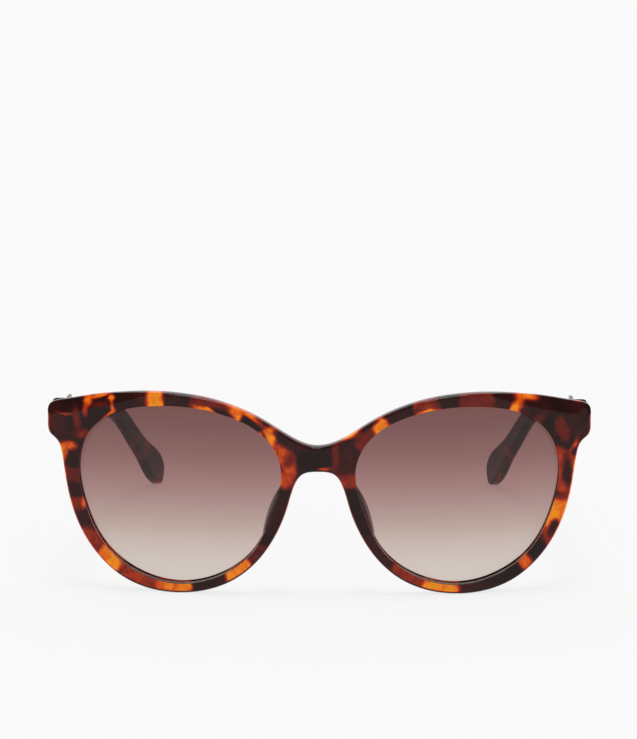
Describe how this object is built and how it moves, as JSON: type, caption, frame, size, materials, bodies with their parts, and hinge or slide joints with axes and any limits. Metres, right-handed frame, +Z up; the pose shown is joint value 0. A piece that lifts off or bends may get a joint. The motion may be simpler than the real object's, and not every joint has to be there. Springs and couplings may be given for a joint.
{
  "type": "cat eye sunglasses",
  "caption": "Cat eye sunglasses with a one-piece acetate front, tinted lenses, bonded nose pads and temples that fold inwards on barrel hinges.",
  "frame": {"origin": "on the floor under the middle of the open glasses, half way between the front of the bridge and the temple tips", "axes": "+Z up, -Y the way the wearer looks out through the lenses, +X the wearer's left"},
  "size_m": [0.142, 0.1399, 0.053],
  "materials": {
    "frame_acetate": "polished tortoiseshell acetate",
    "pad_acetate": "polished tortoiseshell acetate",
    "lens_tint": "brown gradient tint",
    "hinge_steel": "fine satin",
    "wire_steel": "drawn wire",
    "screw_steel": "turned"
  },
  "bodies": {
    "front": {"front_frame": "frame_acetate", "lens_left": "lens_tint", "nose_pad_left": "pad_acetate", "front_hinge_left": "hinge_steel", "hinge_screw_left": "screw_steel", "lens_right": "lens_tint", "nose_pad_right": "pad_acetate", "front_hinge_right": "hinge_steel", "hinge_screw_right": "screw_steel"},
    "left_arm": {"temple_left": "frame_acetate", "core_wire_left": "wire_steel", "temple_hinge_left": "hinge_steel"},
    "right_arm": {"temple_right": "frame_acetate", "core_wire_right": "wire_steel", "temple_hinge_right": "hinge_steel"}
  },
  "joints": [
    {"name": "temple_left_fold", "type": "hinge", "parent": "front", "child": "left_arm", "pos_m": [0.065, -0.051, 0.045], "axis": [0, 0, 1], "range_deg": [0, 85]},
    {"name": "temple_right_fold", "type": "hinge", "parent": "front", "child": "right_arm", "pos_m": [-0.065, -0.051, 0.045], "axis": [0, 0, -1], "range_deg": [0, 81]}
  ]
}
